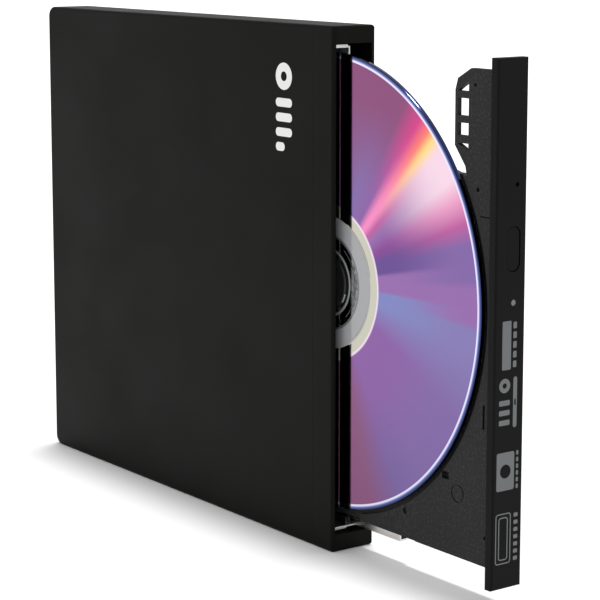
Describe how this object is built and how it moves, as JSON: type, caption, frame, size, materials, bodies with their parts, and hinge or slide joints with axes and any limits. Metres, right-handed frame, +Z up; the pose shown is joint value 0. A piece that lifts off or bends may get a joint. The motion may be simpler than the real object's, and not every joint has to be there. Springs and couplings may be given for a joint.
{
  "type": "external optical drive",
  "caption": "Slim external optical disc drive standing on its side, with a sliding disc drawer on rails, spindle, pickup, eject button and latch.",
  "frame": {"origin": "middle of the narrow side the case stands on, half-way between front and rear", "axes": "+Z up along the case's long front edge, drawer opens towards -Y, lid faces -X, base cover and feet face +X"},
  "size_m": [0.014, 0.205, 0.138],
  "materials": {
    "case_black": "fine-textured matt black ABS",
    "rubber_black": "soft black rubber",
    "screw_steel": "zinc-plated steel",
    "board_green": "solder-masked circuit board",
    "chip_black": "moulded chip packages",
    "socket_metal": "nickel-plated shell",
    "connector_black": "glass-filled connector plastic",
    "shell_steel": "bright zinc-coated sheet steel",
    "guide_black": "low-friction black acetal",
    "rail_steel": "bright stainless steel",
    "tray_black": "dark grey textured plastic",
    "bezel_black": "fine-grained black plastic",
    "light_clear": "frosted clear light pipe",
    "deck_black": "black-coated sheet steel",
    "frame_zinc": "die-cast alloy",
    "motor_metal": "plated motor steel",
    "stator_copper": "copper coils on laminated core",
    "bearing_bronze": "sintered bronze",
    "hub_grey": "dark grey plastic",
    "jaw_white": "white acetal",
    "disc_surface": "recordable disc, violet mirror under clear polycarbonate",
    "lens_glass": "coated objective lens",
    "ribbon_film": "white flat cable"
  },
  "bodies": {
    "enclosure": {"lid": "case_black", "base_cover": "case_black", "front_collar": "case_black", "rubber_feet": "rubber_black", "case_screws": "screw_steel", "foam_pads": "rubber_black", "bridge_board": "board_green", "bridge_chips": "chip_black", "usb_socket": "socket_metal", "sata_plug": "connector_black", "drive_cover": "shell_steel", "drive_pan": "shell_steel", "lower_guide": "guide_black", "upper_guide": "guide_black", "shell_screws": "screw_steel", "latch_pin": "screw_steel", "rear_board": "board_green", "sata_socket": "connector_black", "ribbon_socket": "connector_black", "ribbon_fixed_run": "ribbon_film"},
    "drawer": {"tray": "tray_black", "bezel": "bezel_black", "led_lens": "light_clear", "traverse_cover": "deck_black", "traverse_frame": "frame_zinc", "damper_grommets": "rubber_black", "damper_screws": "screw_steel", "motor_base": "motor_metal", "motor_stator": "stator_copper", "spindle_bearing": "bearing_bronze", "guide_rods": "rail_steel", "sled_motor": "motor_metal", "tray_board": "board_green", "tray_chips": "chip_black", "eject_switch": "chip_black", "solenoid": "motor_metal", "ejector_rod": "rail_steel", "ejector_spring": "rail_steel", "ribbon_moving_run": "ribbon_film", "bottom_shield": "shell_steel"},
    "lower_slide": {"lower_rail": "rail_steel"},
    "upper_slide": {"upper_rail": "rail_steel"},
    "ribbon_loop": {"ribbon_bend": "ribbon_film"},
    "spindle": {"spindle_shaft": "rail_steel", "rotor_cup": "motor_metal", "turntable": "hub_grey", "grip_ring": "rubber_black", "disc": "disc_surface"},
    "jaw_1": {"clamp_jaw_1": "jaw_white"},
    "jaw_2": {"clamp_jaw_2": "jaw_white"},
    "jaw_3": {"clamp_jaw_3": "jaw_white"},
    "pickup": {"pickup_sled": "frame_zinc", "rack_nut": "guide_black"},
    "lens": {"lens_holder": "hub_grey", "objective_lens": "lens_glass"},
    "screw": {"lead_screw": "rail_steel"},
    "latch": {"latch_lever": "guide_black"},
    "plunger": {"solenoid_plunger": "rail_steel"},
    "release": {"release_slider": "guide_black"},
    "button": {"eject_button": "bezel_black"}
  },
  "joints": [
    {"name": "drawer_slide", "type": "slide", "parent": "enclosure", "child": "drawer", "axis": [0, -1, 0], "range_m": [-0.06, 0.071], "deforming": ["ribbon_fixed_run", "ribbon_moving_run"]},
    {"name": "lower_rail_slide", "type": "slide", "parent": "enclosure", "child": "lower_slide", "axis": [0, -1, 0], "range_m": [-0.03, 0.0355], "deforming": ["ribbon_fixed_run", "ribbon_moving_run"]},
    {"name": "upper_rail_slide", "type": "slide", "parent": "enclosure", "child": "upper_slide", "axis": [0, -1, 0], "range_m": [-0.03, 0.0355]},
    {"name": "ribbon_roll", "type": "slide", "parent": "enclosure", "child": "ribbon_loop", "axis": [0, -1, 0], "range_m": [-0.03, 0.0355], "deforming": ["ribbon_fixed_run", "ribbon_moving_run"]},
    {"name": "spindle_spin", "type": "hinge", "parent": "drawer", "child": "spindle", "pos_m": [0, -0.0665, 0.0713], "axis": [1, 0, 0], "continuous": true},
    {"name": "jaw_1_press", "type": "slide", "parent": "spindle", "child": "jaw_1", "axis": [0, 0, -1], "range_m": [0, 0.0004], "stiffness_N_per_m": 40},
    {"name": "jaw_2_press", "type": "slide", "parent": "spindle", "child": "jaw_2", "axis": [0, 0.866, 0.5], "range_m": [0, 0.0004]},
    {"name": "jaw_3_press", "type": "slide", "parent": "spindle", "child": "jaw_3", "axis": [0, -0.866, 0.5], "range_m": [0, 0.0004]},
    {"name": "sled_slide", "type": "slide", "parent": "drawer", "child": "pickup", "axis": [0, 1, 0], "range_m": [0, 0.031]},
    {"name": "screw_turn", "type": "hinge", "parent": "drawer", "child": "screw", "pos_m": [0.0012, -0.0425, 0.0448], "axis": [0, 1, 0], "range_deg": [0, 3721]},
    {"name": "lens_focus", "type": "slide", "parent": "pickup", "child": "lens", "axis": [-1, 0, 0], "range_m": [-0.0003, 0.0003], "stiffness_N_per_m": 40},
    {"name": "latch_swing", "type": "hinge", "parent": "drawer", "child": "latch", "pos_m": [0.0022, -0.1081, 0.103], "axis": [1, 0, 0], "range_deg": [-15, 0]},
    {"name": "plunger_slide", "type": "slide", "parent": "drawer", "child": "plunger", "axis": [0, 1, 0], "range_m": [-0.0018, 0], "stiffness_N_per_m": 40},
    {"name": "release_slide", "type": "slide", "parent": "drawer", "child": "release", "axis": [0, 1, 0], "range_m": [-0.0018, 0]},
    {"name": "button_press", "type": "slide", "parent": "drawer", "child": "button", "axis": [0, 1, 0], "range_m": [0, 0.0006], "stiffness_N_per_m": 400}
  ],
  "couplings": [
    {"joint": "lower_rail_slide", "follows": "drawer_slide", "ratio": 0.5},
    {"joint": "upper_rail_slide", "follows": "drawer_slide", "ratio": 0.5},
    {"joint": "ribbon_roll", "follows": "drawer_slide", "ratio": 0.5},
    {"joint": "jaw_2_press", "follows": "jaw_1_press", "ratio": 1},
    {"joint": "jaw_3_press", "follows": "jaw_1_press", "ratio": 1},
    {"joint": "screw_turn", "follows": "sled_slide", "rad_per_m": 2094.4},
    {"joint": "latch_swing", "follows": "plunger_slide", "rad_per_m": 142.86},
    {"joint": "release_slide", "follows": "plunger_slide", "ratio": 1}
  ]
}
